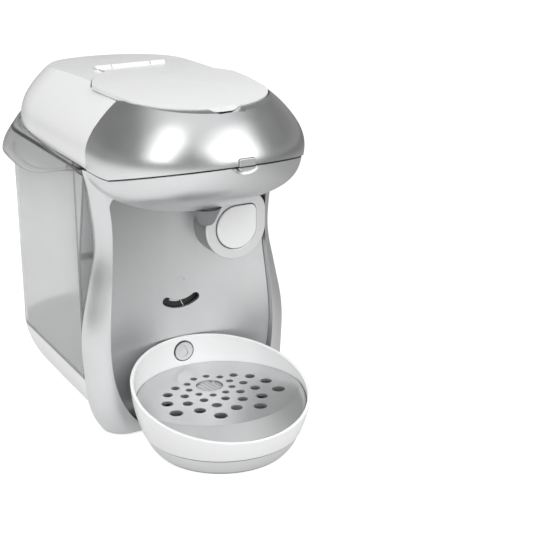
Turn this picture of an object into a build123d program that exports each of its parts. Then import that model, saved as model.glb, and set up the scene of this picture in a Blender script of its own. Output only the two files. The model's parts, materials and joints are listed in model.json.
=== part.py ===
"""Toy coffee maker with a drip tray, a see-through water tank and an opening lid.

Millimetres.  +Z is up, the front faces -Y and +X is on the right of a viewer who
stands in front.  The origin is on the table, under the middle of the outer box.
"""
import os
from math import cos, radians, sin

from build123d import *

os.makedirs("parts", exist_ok=True)

# ------------------------------------------------------------------ driving sizes
# Whole machine
overall_length = 275.6          # front of the tray rim to the back of the tank lip
wall = 2.0                      # moulded shell thickness
seam = 0.2                      # gap between two shells of one body
running_gap = 0.4               # gap between pieces that move past each other
pin_clearance = 0.05            # radial clearance of a pin or stem in its bore
foot_thickness = 1.0

# Drip tray
tray_ring_foot_radius = 48.3    # white ring, at its lower edge
tray_rim_front_radius = 52.25   # white ring, at the front of the rim
tray_rim_back_radius = 54.6     # white ring, at the back of the rim
tray_ring_bottom_z = 12.0
tray_rim_mid_z = 36.7
tray_rim_slope = 0.24           # rise of the rim per millimetre towards the back
tray_foot_radius = 40.6
tray_lap = 3.0                  # height of the bowl's collar inside the ring
plate_z = 30.9                  # top of the flat part of the drip plate
plate_thickness = 1.8
plate_crease_radius = 55.0      # where the plate starts to fall, about the spout axis
plate_fall = 0.55               # drop of the front crescent per millimetre
plate_ring_step = 7.15          # radial pitch of the rows of holes
plate_first_ring_radius = 13.9
plate_centre_hole_radius = 8.4
plate_first_hole_radius = 2.2
plate_hole_growth = 0.45        # how much each row's holes are larger than the last
plate_ledge = 1.6               # width of the step that carries the plate
row_reach = (180, 108, 90, 72, 54)      # each row of holes ends here, from the front
lug_radius = 6.1                # locating lug on the column
lug_length = 3.4
lug_z = 40.5

# Column
tray_to_column = 55.0           # tray centre to the deepest line of the front panel
frame_lead = 19.0               # frame face in front of that line
frame_depth = 27.0
bezel_lead = 18.1               # face of the button's bezel in front of that line
panel_radius = 112.0            # hollow of the front panel, seen from above
panel_thickness = 2.2
frame_sill_z = 4.0              # top of the bar that joins the frame's feet
frame_arch_z = 153.5            # top of the frame's opening
frame_arch_corner = 7.0
frame_top_z = 168.4
waist_z = 116.0
waist_outer = 57.6
waist_inner = 51.4
hip_z = 54.0
hip_outer = 68.0
hip_inner = 55.5
shoulder_outer = 64.6
ankle_outer = 57.6              # frame, at the table
ankle_inner = 36.0

# Head
spout_reach = 16.5              # spout axis behind the tray centre
mouth_z = 169.5                 # parting line along the sides
mouth_rise = 0.243              # slope of the parting line round the front
mouth_gap = 0.9
cover_rise = 0.065              # slope of the rear cover's lower edge
cover_split_lean = 0.14         # how far the joint of the covers leans forward per millimetre
head_half_width = 64.6
head_setback = 18.8             # head's front behind the tray's front
head_overhang = 3.8             # lip's back behind the head's back
front_bow = 65.0                # depth of the head's round front
rear_bow = 87.0                 # depth of the head's round back
front_to_break = 49.0           # head's front to where its parting line turns up
front_to_split = 75.0           # head's front to the joint of the covers, at mouth_z
crown_front_z = 206.0
crown_mid_z = 211.2
crown_rear_z = 203.5
nose_floor_z = 144.8
deck_drop = 1.5                 # head floor above the parting line

# Lid
lid_setback = 25.5              # lid's front behind the head's front
lid_length = 126.5
lid_half_width = 46.5
lid_waist = 3.0                 # how much narrower the lid is where its round front starts
lid_bow = 37.0                  # depth of the lid's round front
lid_taper = 48.0                # length of the lid's narrowing back
lid_neck = 11.0                 # straight part of it, next to the hinge
lid_bulge = 3.2                 # how far its shoulder curves outwards
lid_back_half_width = 22.5
lid_thickness = 2.6
lid_proud = 0.6                 # lid top above the head's crown
lid_gap = 0.8
lid_ledge = 3.0                 # width of the seat under the lid's edge
lid_play = 0.3                  # height between the lid's edge and that seat
finger_half_width = 10.0        # finger recess in front of the lid
finger_depth = 3.2
finger_reach = 9.0              # the recess starts this far in front of the lid
finger_rise = 2.3               # rim of the recess above the crown's front
hinge_setback = 3.4             # hinge line behind the lid's back
hinge_z = 210.3
hinge_radius = 2.8
hinge_pin_radius = 1.2
hinge_half_length = 23.5
hinge_middle_half_length = 13.0

# Catch at the front of the head, and the scoop below it
catch_width = 10.0
catch_height = 6.4
catch_lift = 0.8                # middle of the catch above the parting line
catch_proud = 0.9
scoop_half_width = 9.3
scoop_drop = 5.5
scoop_depth = 2.8
tongue_inset = 4.4              # lip inside the mouth that closes the gap
tongue_thickness = 1.8
tongue_height = 3.0

# Capsule chamber
capsule_radius = 27.5
capsule_pocket_depth = 15.0
chamber_plate_z = 198.0
front_to_chamber = 59.0         # head's front to the capsule's axis

# Spout
spout_top_radius = 8.8
spout_tip_radius = 4.8
spout_length = 10.2
spout_neck_radius = 6.0
spout_neck_height = 6.0
spout_pipe_height = 6.0         # pipe above the neck, where the hose starts

# Start button
button_x = 30.4
button_z = 122.3
button_radius = 13.5
button_corner = 4.0
button_thickness = 3.0
bezel_width = 7.0
button_proud = 1.2              # button face in front of the bezel face
button_travel = 4.0
stem_radius = 3.0

# Hand pump behind the button
pump_bore_radius = 8.0
pump_wall = 1.3
pump_gap = 0.7                  # pump to the housing's side
piston_setback = 14.0           # piston behind the frame's rear face
piston_length = 7.0
piston_clearance = 0.08
pump_lead = 2.0                 # cylinder's mouth in front of the piston
spring_radius = 5.6
spring_wire_radius = 0.45
spring_turns = 4
hose_radius = 2.4
hose_bore_radius = 1.5
hose_rise = 16.0                # run to the spout above the nose's floor
hose_setback = 30.0             # standing run behind the frame's rear face

# Indicator behind the slot
slot_pivot_z = 88.8
sign_width = 3.8
slot_radius = 17.0
slot_width = 5.4
slot_half_angle = 36.0
indicator_thickness = 1.2
indicator_radius = 22.0
indicator_shaft_radius = 1.6
indicator_gap = 0.9
mark_radius = 15.5
mark_width = 1.1
mark_height = 0.3

# Base and water tank
base_top_z = 30.0
base_floor_half_width = 50.0
base_floor_inset = 16.0         # base's back at the table, in front of the tank's back
base_bulge_z = 13.0
base_bulge_half_width = 58.6
base_bulge_inset = 5.0
boss_radius = 4.0
boss_front_x = 38.0
boss_rear_x = 34.0
boss_front_inset = 14.0
boss_rear_inset = 24.0
screw_radius = 1.4
screw_head_radius = 2.8
screw_length = 12.0
screw_slot = 0.7
rib_height = 4.0
rib_width = 1.6
rib_pitch = 26.0
foot_radius = 5.0
foot_front_x = 45.0
foot_rear_x = 30.0
tank_half_width = 63.0
tank_inset = 13.8               # tank's back in front of the lip's back
tank_corner = 42.0
tank_wall = 1.8
tank_top_z = 164.0
tank_lean_z = 107.0             # the tank's front leans forward above this height
tank_lean = 0.24
lip_half_width = 68.6
lip_bow = 49.8                  # depth of the lip's round back
lip_dip = 75.8                  # lip's lowest place in front of its back
lip_low_z = 148.0
lip_end_rise = 11.0             # lip's lower edge rises this much to its back
housing_length = 50.55
valve_inset = 48.0              # valve in front of the tank's back
valve_radius = 9.0
seat_thickness = 5.0            # rubber seat under the tank's valve

# ------------------------------------------------------------------ derived places
front_y = -overall_length / 2
rear_y = overall_length / 2
tray_y = front_y + tray_rim_front_radius
column_y = tray_y + tray_to_column
spout_y = tray_y + spout_reach
frame_front = column_y - frame_lead
frame_rear = frame_front + frame_depth
frame_middle = frame_front + frame_depth / 2
bezel_face = column_y - bezel_lead
button_face = bezel_face - button_proud
head_front = front_y + head_setback
head_rear = rear_y - head_overhang
head_front_centre = head_front + front_bow
head_rear_centre = head_rear - rear_bow
mouth_break = head_front + front_to_break
cover_split_y = head_front + front_to_split
chamber_y = head_front + front_to_chamber
lid_front = head_front + lid_setback
lid_back = lid_front + lid_length
hinge_y = lid_back + hinge_setback
tank_front = frame_rear + running_gap
tank_rear = rear_y - tank_inset
lip_centre = rear_y - lip_bow
lip_dip_y = rear_y - lip_dip
base_floor_rear = tank_rear - base_floor_inset
base_bulge_rear = tank_rear - base_bulge_inset
valve_y = tank_rear - valve_inset
housing_rear = frame_rear + housing_length
pump_reach = pump_bore_radius + pump_wall
housing_half_width = button_x + pump_reach + wall + pump_gap
pump_y = frame_rear + hose_setback
hose_level = nose_floor_z + hose_rise   # the hose runs from the pump to the spout here
far = overall_length            # well past the machine, for cutting blocks
high = 2 * mouth_z


def save(part, name):
    """Label one finished piece and write it to its own file."""
    part.label = name
    export_step(part, f"parts/{name}.step")


# ------------------------------------------------------------------ outlines
def oval_outline(half_width, front, front_centre, rear, rear_centre):
    """Outline of the head from above: two half ellipses and straight sides."""
    with BuildSketch() as outline:
        with BuildLine():
            EllipticalCenterArc(
                (0, front_centre), half_width, front_centre - front, 270, arc_size=90
            )
            Line((half_width, front_centre), (half_width, rear_centre))
            EllipticalCenterArc(
                (0, rear_centre), half_width, rear - rear_centre, 0, arc_size=90
            )
            mirror(about=Plane.YZ)
        make_face()
    return outline.sketch


def tub_outline(half_width, front, rear, corner):
    """Outline of the tank from above: flat front and two large rear corners."""
    with BuildSketch() as outline:
        with BuildLine():
            Line((0, front), (half_width, front))
            Line((half_width, front), (half_width, rear - corner))
            CenterArc((half_width - corner, rear - corner), corner, 0, 90)
            Line((half_width - corner, rear), (0, rear))
            mirror(about=Plane.YZ)
        make_face()
    return outline.sketch


def lid_outline(grow):
    """Outline of the lid from above, grown by grow."""
    shoulder = lid_half_width + grow
    neck = lid_back_half_width + grow
    nose = lid_front + lid_bow
    with BuildSketch() as outline:
        with BuildLine():
            Polyline((0, lid_back + grow), (neck, lid_back + grow), (neck, lid_back - lid_neck))
            ThreePointArc(
                (neck, lid_back - lid_neck),
                ((neck + shoulder) / 2 + lid_bulge, lid_back - (lid_neck + lid_taper) / 2),
                (shoulder, lid_back - lid_taper),
            )
            ThreePointArc(
                (shoulder, lid_back - lid_taper),
                (shoulder - lid_waist / 6, (lid_back - lid_taper + nose) / 2),
                (shoulder - lid_waist, nose),
            )
            EllipticalCenterArc(
                (0, nose), shoulder - lid_waist, lid_bow + grow, 270, arc_size=90
            )
            mirror(about=Plane.YZ)
        make_face()
    return outline.sketch


def button_outline(grow):
    """Start button from the front: a disc with one square upper corner."""
    radius = button_radius + grow
    with BuildSketch() as outline:
        Circle(radius)
        with Locations((radius / 2, radius / 2)):
            Rectangle(radius, radius)
        corner = outline.vertices().group_by(Axis.X)[-1].sort_by(Axis.Y)[-1:]
        fillet(corner, button_corner + max(grow, 0))
    return outline.sketch


def opening_outline(inset):
    """Front view of the frame's opening, drawn in by inset at its sides."""
    with BuildSketch() as outline:
        with BuildLine():
            side = Spline(*[(x - inset, z) for x, z in inner_widths])
            Line((0, frame_sill_z), side @ 0)
            Line(side @ 1, (0, frame_arch_z))
            mirror(about=Plane.YZ)
        make_face()
        corners = outline.vertices().group_by(Axis.Y)[-1].sort_by(Axis.X)
        fillet([corners[0], corners[-1]], frame_arch_corner)
    return outline.sketch


# ------------------------------------------------------------------ cutting blocks
def side_block(points):
    """A block right across the machine, with its profile given in y and z."""
    with BuildPart() as block:
        with BuildSketch(Plane.YZ):
            with BuildLine():
                Polyline(*points, close=True)
            make_face()
        extrude(amount=2 * head_half_width, both=True)
    return block.part


def mouth_height(y):
    """Height of the head's parting line at y."""
    if y < mouth_break:
        return mouth_z + mouth_rise * (mouth_break - y)
    return mouth_z + cover_rise * max(y, 0)


def parting_points(shift):
    """The head's parting line from front to back, moved up by shift."""
    return [(y, mouth_height(y) + shift) for y in (-far, mouth_break, 0, far)]


split_low = cover_split_y + cover_split_lean * mouth_z
split_high = cover_split_y - cover_split_lean * (high - mouth_z)
above_mouth = side_block(parting_points(0) + [(far, 2 * high), (-far, 2 * high)])
below_mouth = side_block(parting_points(-mouth_gap) + [(far, -high), (-far, -high)])
deck_band = side_block(parting_points(deck_drop) + parting_points(deck_drop + wall)[::-1])
deck_underside = side_block(parting_points(deck_drop - seam) + [(far, -high), (-far, -high)])
before_split = side_block([(split_low, 0), (split_high, high), (-far, high), (-far, 0)])
behind_split = side_block(
    [(split_low + seam, 0), (split_high + seam, high), (far, high), (far, 0)]
)

# ------------------------------------------------------------------ head form
# Rise above the parting line, then what the sides, front and back have drawn in
head_sections = (
    (-6.0, 0.0, 0.0, 0.0),
    (11.5, 0.4, -0.3, 4.5),
    (20.5, 3.0, 2.2, 10.0),
    (28.5, 8.4, 7.5, 16.0),
    (35.5, 14.8, 13.5, 23.0),
    (41.0, 21.4, 21.0, 31.0),
    (45.0, 27.0, 28.0, 38.0),
)


def head_form(inset):
    """The head's outer form, drawn in by inset all over."""
    with BuildPart() as form:
        for rise, side, front, rear in head_sections:
            with BuildSketch(Plane.XY.offset(mouth_z + rise - (inset if rise > 15 else 0))):
                add(oval_outline(
                    head_half_width - side - inset,
                    head_front + front + inset,
                    head_front_centre,
                    head_rear - rear - inset,
                    head_rear_centre,
                ))
        loft()
        with BuildSketch(Plane.YZ):
            with BuildLine():
                crown = ThreePointArc(
                    (head_front, crown_front_z - inset),
                    ((lid_front + lid_back) / 2, crown_mid_z - inset),
                    (head_rear, crown_rear_z - inset),
                )
                Polyline(crown @ 1, (head_rear, 0), (head_front - 2, 0),
                         (head_front - 2, crown_front_z - inset), crown @ 0)
            make_face()
        extrude(amount=head_half_width, both=True, mode=Mode.INTERSECT)
    return form.part


head_outer = head_form(0)
head_inner = head_form(wall)

# Ring inside the head that carries the lid's edge
with BuildPart() as lid_seat:
    with BuildSketch(Plane.XY.offset(chamber_plate_z)):
        add(lid_outline(wall + 1))
        with Locations((0, lid_front)):
            Rectangle(2 * finger_half_width + 3 * wall, 2 * (lid_ledge + wall))
        add(lid_outline(-lid_ledge), mode=Mode.SUBTRACT)
    extrude(amount=crown_mid_z)
    add(head_outer, mode=Mode.INTERSECT)


def crown_arc(shift):
    """The crown line from front to back in section, moved up by shift."""
    return ThreePointArc(
        (head_front, crown_front_z + shift),
        ((lid_front + lid_back) / 2, crown_mid_z + shift),
        (head_rear, crown_rear_z + shift),
    )


# The lid's well: its edge drops into it, down to the ledge
with BuildPart() as lid_well:
    with BuildSketch(Plane.YZ):
        with BuildLine():
            floor = crown_arc(lid_proud - lid_thickness - lid_play)
            Polyline(floor @ 1, (head_rear, high), (head_front, high), floor @ 0)
        make_face()
    extrude(amount=head_half_width, both=True)
    with BuildSketch(Plane.XY.offset(mouth_z)):
        add(lid_outline(lid_gap))
    extrude(amount=high, mode=Mode.INTERSECT)

with BuildPart() as lid_throat:
    with BuildSketch(Plane.XY.offset(mouth_z)):
        add(lid_outline(-lid_ledge))
    extrude(amount=high)

# Hinge band behind the lid, and the finger recess in front of it
with BuildPart() as hinge_recess:
    with BuildSketch(Plane.YZ):
        with Locations((hinge_y, hinge_z)):
            Circle(hinge_radius + running_gap)
        with Locations((hinge_y, hinge_z + hinge_radius)):
            Rectangle(2 * (hinge_radius + running_gap) + 2, 2 * hinge_radius)
    extrude(amount=hinge_half_length + running_gap, both=True)

finger_radius = (finger_half_width**2 + finger_depth**2) / (2 * finger_depth)
finger_top_z = crown_front_z + finger_rise
with BuildPart() as finger_recess:
    with BuildSketch(Plane.XZ.offset(finger_reach - lid_front)):
        with Locations((0, finger_top_z - finger_depth + finger_radius)):
            Circle(finger_radius)
    extrude(amount=-finger_reach - 2 * lid_ledge)

with BuildPart() as head_shell:
    add(head_outer)
    add(head_inner, mode=Mode.SUBTRACT)
    add(lid_seat.part)
    add(lid_throat.part, mode=Mode.SUBTRACT)
    add(lid_well.part, mode=Mode.SUBTRACT)
    add(above_mouth, mode=Mode.INTERSECT)

# ------------------------------------------------------------------ head covers
mouth_front_z = mouth_height(head_front)
catch_plane = Plane(
    origin=(0, head_front - catch_proud, mouth_front_z + catch_lift),
    x_dir=(1, 0, 0), z_dir=(0, -1, 0),
)

with BuildPart() as head_cover:
    add(head_shell.part)
    add(before_split, mode=Mode.INTERSECT)
    add(finger_recess.part, mode=Mode.SUBTRACT)
    with BuildSketch(catch_plane):
        RectangleRounded(catch_width + 2 * seam, catch_height + 2 * seam, 1.3)
    extrude(amount=-4 * wall, mode=Mode.SUBTRACT)

with BuildPart() as head_catch:
    with BuildSketch(catch_plane):
        RectangleRounded(catch_width, catch_height, 1.2)
    extrude(amount=-catch_proud - 0.7 * wall)
    fillet(head_catch.faces().sort_by(Axis.Y)[0].edges(), 0.5)

with BuildPart() as rear_cover:
    add(head_shell.part)
    add(behind_split, mode=Mode.INTERSECT)
    add(hinge_recess.part, mode=Mode.SUBTRACT)
    # Two outer knuckles on a pad under the hinge line
    knuckle_length = hinge_half_length - hinge_middle_half_length - running_gap
    knuckle_middle = (hinge_half_length + hinge_middle_half_length + running_gap) / 2
    for side in (-1, 1):
        with BuildSketch(Plane.YZ.offset(side * knuckle_middle)):
            with Locations((hinge_y, hinge_z)):
                Circle(hinge_radius)
            with Locations((hinge_y, hinge_z - hinge_radius - 1)):
                Rectangle(2 * hinge_radius, 2 * hinge_radius)
        extrude(amount=knuckle_length / 2, both=True)
    with BuildSketch(Plane.YZ):
        with Locations((hinge_y, hinge_z)):
            Circle(hinge_pin_radius + seam / 10)
    extrude(amount=hinge_half_length - 1, both=True, mode=Mode.SUBTRACT)

with BuildPart() as head_deck:
    add(head_form(wall + seam))
    add(deck_band, mode=Mode.INTERSECT)
    with BuildSketch(Plane.XY):
        with Locations((0, frame_rear - far)):
            Rectangle(2 * far, 2 * far)
    extrude(amount=high, mode=Mode.SUBTRACT)

with BuildPart() as hinge_pin:
    with BuildSketch(Plane.YZ):
        with Locations((hinge_y, hinge_z)):
            Circle(hinge_pin_radius)
    extrude(amount=hinge_half_length - 1.2, both=True)

# ------------------------------------------------------------------ lid
with BuildPart() as lid:
    with BuildSketch(Plane.YZ):
        with BuildLine():
            top = crown_arc(lid_proud)
            bottom = crown_arc(lid_proud - lid_thickness)
            Line(top @ 0, bottom @ 0)
            Line(top @ 1, bottom @ 1)
        make_face()
    extrude(amount=head_half_width, both=True)
    with BuildSketch(Plane.XY.offset(mouth_z)):
        add(lid_outline(0))
    extrude(amount=high, mode=Mode.INTERSECT)
    # Middle knuckle and its arm
    with BuildSketch(Plane.YZ):
        with Locations((hinge_y, hinge_z)):
            Circle(hinge_radius)
        with Locations(((hinge_y + lid_back) / 2 - 1, hinge_z)):
            Rectangle(hinge_y - lid_back + 2, 2.4)
    extrude(amount=hinge_middle_half_length, both=True)
    with BuildSketch(Plane.YZ):
        with Locations((hinge_y, hinge_z)):
            Circle(hinge_pin_radius + pin_clearance)
    extrude(amount=hinge_middle_half_length + 1, both=True, mode=Mode.SUBTRACT)

# ------------------------------------------------------------------ capsule chamber
with BuildPart() as capsule_holder:
    with BuildSketch(Plane.XY.offset(chamber_plate_z - wall - seam)):
        add(lid_outline(-1))
    extrude(amount=wall)
    add(head_form(wall + 1), mode=Mode.INTERSECT)
    with BuildSketch(Plane.XY.offset(chamber_plate_z - capsule_pocket_depth)):
        with Locations((0, chamber_y)):
            Circle(capsule_radius + wall)
    extrude(amount=capsule_pocket_depth - seam)
    with BuildSketch(Plane.XY.offset(chamber_plate_z - capsule_pocket_depth + wall)):
        with Locations((0, chamber_y)):
            Circle(capsule_radius)
    extrude(amount=capsule_pocket_depth, mode=Mode.SUBTRACT)

# ------------------------------------------------------------------ frame form
# Height and outer half width of each level
frame_sections = (
    (foot_thickness, ankle_outer),
    (14, (ankle_outer + hip_outer) / 2 + 1.5),
    (hip_z - 24, hip_outer - 1.2),
    (hip_z - 8, hip_outer - 0.2),
    (hip_z + 6, hip_outer),
    (hip_z + 21, hip_outer - 1.9),
    ((hip_z + waist_z) / 2 + 5, (hip_outer + waist_outer) / 2),
    (waist_z - 12, waist_outer + 2.1),
    (waist_z + 2, waist_outer),
    (waist_z + 16, waist_outer + 0.5),
    (waist_z + 30, waist_outer + 2.1),
    (waist_z + 44, waist_outer + 4.2),
    (frame_top_z + 6, shoulder_outer),
)


def frame_form(grow):
    """The frame's outer form, grown by grow: round at both sides, seen from above."""
    with BuildPart() as form:
        for z, half_width in frame_sections:
            with BuildSketch(Plane.XY.offset(z)):
                with Locations((0, frame_middle)):
                    SlotCenterToCenter(2 * half_width - frame_depth, frame_depth + 2 * grow)
        loft()
    return form.part


# ------------------------------------------------------------------ nose
# Height, half width and distance behind the head's front of each level
nose_sections = (
    (mouth_z + 16, 64.4, -0.6),
    (mouth_z, 62.8, 4.2),
    (mouth_z - 12, 57.6, 17.5),
    (nose_floor_z + 5.5, 46.0, 33.0),
    (nose_floor_z + 1.5, 35.5, 42.0),
    (nose_floor_z, 27.0, 47.0),
)


def nose_form(inset, floor_rise):
    """The bowl under the head, drawn in by inset, with its floor raised."""
    with BuildPart() as form:
        for z, half_width, setback in nose_sections:
            lift = floor_rise if z < mouth_z - 15 else 0
            with BuildSketch(Plane.XY.offset(z + lift)):
                add(oval_outline(half_width - inset, head_front + setback + inset,
                                 head_front_centre, frame_middle + frame_depth, frame_middle))
        loft()
    return form.part


def nose_band(inset, low, top):
    """A ring inside the nose, between two heights measured from the parting line."""
    with BuildPart() as band:
        add(nose_form(inset, 0))
        add(nose_form(tongue_inset + tongue_thickness, 0), mode=Mode.SUBTRACT)
        add(side_block(parting_points(low) + parting_points(top)[::-1]), mode=Mode.INTERSECT)
    return band.part


tongue_root = nose_band(wall / 2, -2 * tongue_height, -mouth_gap)
tongue = nose_band(tongue_inset, -2 * tongue_height, tongue_height)

# The scoop is part of a ball that meets the nose in a circle
scoop_circle = (scoop_half_width**2 + scoop_drop**2) / (2 * scoop_drop)
scoop_radius = (scoop_circle**2 + scoop_depth**2) / (2 * scoop_depth)
scoop_y = head_front + 0.9 + scoop_depth - scoop_radius
scoop_z = mouth_front_z - scoop_drop + scoop_circle

# Back of the bowl, below the hose
back_front = frame_front - seam - wall
back_top = frame_arch_z + wall
with BuildPart() as nose_back:
    add(nose_form(0, 0))
    add(side_block([(back_front, 0), (frame_middle, 0), (frame_middle, back_top),
                    (back_front, back_top)]), mode=Mode.INTERSECT)

with BuildPart() as nose_shell:
    add(nose_form(0, 0))
    add(nose_form(wall, wall), mode=Mode.SUBTRACT)
    add(below_mouth, mode=Mode.INTERSECT)
    add(tongue_root)
    add(tongue)
    add(nose_back.part)
    # The frame's round sides stand against the back
    with BuildSketch(Plane.XY):
        with Locations((0, frame_middle + far)):
            Rectangle(2 * far, 2 * far)
    extrude(amount=high, mode=Mode.SUBTRACT)
    add(frame_form(seam), mode=Mode.SUBTRACT)
    with Locations((0, scoop_y, scoop_z)):
        Sphere(scoop_radius, mode=Mode.SUBTRACT)
    with BuildSketch(Plane.XY.offset(nose_floor_z - 1)):
        with Locations((0, spout_y)):
            Circle(spout_neck_radius + pin_clearance)
    extrude(amount=spout_neck_height, mode=Mode.SUBTRACT)

neck_top = nose_floor_z + spout_neck_height
pipe_top = neck_top + spout_pipe_height
with BuildPart() as spout:
    with BuildSketch(Plane.YZ):
        with BuildLine():
            Polyline(
                (spout_y, nose_floor_z - spout_length + 2),
                (spout_y + spout_tip_radius - 1.4, nose_floor_z - spout_length),
                (spout_y + spout_tip_radius, nose_floor_z - spout_length + 1.6),
                (spout_y + spout_top_radius, nose_floor_z),
                (spout_y + spout_neck_radius, nose_floor_z),
                (spout_y + spout_neck_radius, neck_top),
                (spout_y + hose_radius, neck_top),
                (spout_y + hose_radius, pipe_top),
                (spout_y, pipe_top),
                close=True,
            )
        make_face()
    revolve(axis=Axis((0, spout_y, 0), (0, 0, 1)))
    with BuildSketch(Plane.XY.offset(nose_floor_z - spout_length)):
        with Locations((0, spout_y)):
            Circle(hose_bore_radius)
    extrude(amount=2 * spout_length + spout_neck_height + spout_pipe_height, mode=Mode.SUBTRACT)

# ------------------------------------------------------------------ column
inner_widths = (
    (ankle_inner, frame_sill_z), ((ankle_inner + hip_inner) / 2 + 5, 26),
    (hip_inner, hip_z + 5), (waist_inner, waist_z - 4), (waist_inner + 2, frame_arch_z),
)
lean_run = tank_lean * (high - tank_lean_z)


def tank_line(shift):
    """The leaning line of the tank's front, moved back by shift."""
    front = tank_front + shift
    return [(front, -1), (front, tank_lean_z), (front - lean_run, high)]


def behind_tank_line(shift):
    """Everything behind the tank's front line, moved back by shift."""
    return side_block(tank_line(shift) + [(far, high), (far, -1)])


before_tank = side_block(tank_line(-running_gap) + [(-far, high), (-far, -1)])
wing_band = side_block(tank_line(-running_gap) + tank_line(-running_gap - wall)[::-1])
frame_plane = Plane.XZ.offset(-frame_front)
bezel_plane = Plane(
    origin=(button_x, bezel_face, button_z), x_dir=(1, 0, 0), z_dir=(0, -1, 0)
)
button_plane = bezel_plane.offset(button_proud)

# Everything inside the frame's opening, with a seam all round
with BuildPart() as frame_opening:
    with BuildSketch(frame_plane):
        add(opening_outline(seam))
    extrude(amount=-frame_depth)
    with BuildSketch(Plane.XY.offset(frame_sill_z + seam)):
        Rectangle(far, far)
    extrude(amount=frame_arch_z - frame_sill_z - 2 * seam, mode=Mode.INTERSECT)

# Space in front of the hollow panel, and the panel's own slab
with BuildPart() as panel_front_space:
    with BuildSketch():
        with Locations((0, column_y - panel_radius)):
            Circle(panel_radius)
    extrude(amount=high)

with BuildPart() as panel_slab:
    with BuildSketch():
        with Locations((0, column_y - panel_radius)):
            Circle(panel_radius + panel_thickness)
            Circle(panel_radius, mode=Mode.SUBTRACT)
    extrude(amount=high)

with BuildPart() as behind_panel_space:
    with BuildSketch():
        with Locations((0, column_y - panel_radius)):
            Circle(panel_radius + panel_thickness + seam)
    extrude(amount=high)

with BuildPart() as front_frame:
    add(frame_form(0))
    split(bisect_by=Plane.XY.offset(frame_top_z), keep=Keep.BOTTOM)
    with BuildSketch(frame_plane):
        add(opening_outline(0))
    extrude(amount=-frame_depth, mode=Mode.SUBTRACT)
    add(before_tank, mode=Mode.INTERSECT)
    # The drip tray's bowl stands in a hollow of the sill
    with BuildSketch():
        with Locations((0, tray_y)):
            Circle(tray_ring_foot_radius + running_gap)
    extrude(amount=tray_ring_bottom_z + 2, mode=Mode.SUBTRACT)
    # Window for the hose to the spout
    with BuildSketch(frame_plane):
        with Locations((button_x / 2 - 3, hose_level)):
            RectangleRounded(button_x - 4, 2 * hose_radius + 2, 2)
    extrude(amount=-frame_depth, mode=Mode.SUBTRACT)
    # Room for the button's bezel
    with BuildSketch(bezel_plane):
        add(button_outline(bezel_width + seam))
    extrude(amount=-frame_depth, mode=Mode.SUBTRACT)

with BuildPart() as front_panel:
    add(panel_slab.part)
    add(frame_opening.part, mode=Mode.INTERSECT)
    # Curved slot, and the hole for the button's stem
    with BuildSketch(frame_plane):
        with BuildLine() as slot_line:
            CenterArc((0, slot_pivot_z), slot_radius, 270 - slot_half_angle, 2 * slot_half_angle)
        SlotArc(slot_line.wire(), slot_width)
        with Locations((button_x, button_z)):
            Circle(stem_radius + running_gap)
    extrude(amount=-frame_depth, mode=Mode.SUBTRACT)
    # Pin on the back that the indicator turns on
    with BuildSketch(Plane.XZ.offset(-column_y - panel_thickness + 0.5)):
        with Locations((0, slot_pivot_z)):
            Circle(indicator_shaft_radius)
    extrude(amount=-(indicator_thickness + indicator_gap + 2.5))
    # Small moulded cup sign above the slot
    with BuildSketch(Plane.XZ.offset(-column_y + 0.3)):
        with Locations((0, slot_pivot_z - 1.5)):
            Trapezoid(sign_width, sign_width, 78, rotation=180)
        with Locations((sign_width / 2 + 0.3, slot_pivot_z - 1)):
            Circle(1.2)
            Circle(0.6, mode=Mode.SUBTRACT)
    extrude(amount=-1.0)

with BuildPart() as button_bezel:
    with BuildSketch(bezel_plane):
        add(button_outline(bezel_width))
        add(button_outline(running_gap), mode=Mode.SUBTRACT)
    extrude(amount=-frame_depth)
    add(panel_front_space.part, mode=Mode.INTERSECT)
    fillet(button_bezel.faces().sort_by(Axis.Y)[0].edges(), 0.8)

with BuildPart() as start_button:
    with BuildSketch(button_plane):
        add(button_outline(0))
    extrude(amount=-button_thickness)
    fillet(start_button.faces().sort_by(Axis.Y)[0].edges(), 0.9)

piston_front = frame_rear + piston_setback
with BuildPart() as button_stem:
    with BuildSketch(button_plane.offset(-button_thickness)):
        Circle(stem_radius)
    extrude(amount=-(piston_front - button_face - button_thickness))

with BuildPart() as pump_piston:
    with BuildSketch(Plane.XZ.offset(-piston_front)):
        with Locations((button_x, button_z)):
            Circle(pump_bore_radius - piston_clearance)
    extrude(amount=-piston_length)

pump_front = piston_front - pump_lead
pump_back = housing_rear - wall - seam
with BuildPart() as pump_cylinder:
    with BuildSketch(Plane.XZ.offset(-pump_front)):
        with Locations((button_x, button_z)):
            Circle(pump_reach)
    extrude(amount=-(pump_back - pump_front))
    with BuildSketch(Plane.XZ.offset(-pump_front)):
        with Locations((button_x, button_z)):
            Circle(pump_bore_radius)
    extrude(amount=-(pump_back - pump_front - wall), mode=Mode.SUBTRACT)
    # Inlet below and outlet above, near the closed end
    with BuildSketch(Plane.XY.offset(button_z)):
        with Locations((button_x, pump_y)):
            Circle(hose_bore_radius)
    extrude(amount=2 * pump_bore_radius, both=True, mode=Mode.SUBTRACT)

spring_front = piston_front + piston_length
spring_length = pump_back - wall - spring_front - 2 * spring_wire_radius
with BuildPart() as pump_spring:
    with BuildLine() as coil:
        Helix(
            pitch=spring_length / spring_turns, height=spring_length, radius=spring_radius,
            center=(button_x, spring_front + spring_wire_radius, button_z), direction=(0, 1, 0),
        )
    with BuildSketch(Plane(origin=coil.line @ 0, z_dir=coil.line % 0)):
        Circle(spring_wire_radius)
    sweep(path=coil.line)


def hose(points, radii):
    """A hose along straight runs and arcs."""
    with BuildPart() as tube:
        with BuildLine() as route:
            FilletPolyline(*points, radius=radii)
        with BuildSketch(Plane(origin=route.line @ 0, z_dir=route.line % 0)):
            Circle(hose_radius)
            Circle(hose_bore_radius, mode=Mode.SUBTRACT)
        sweep(path=route.line)
    return tube.part


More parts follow.
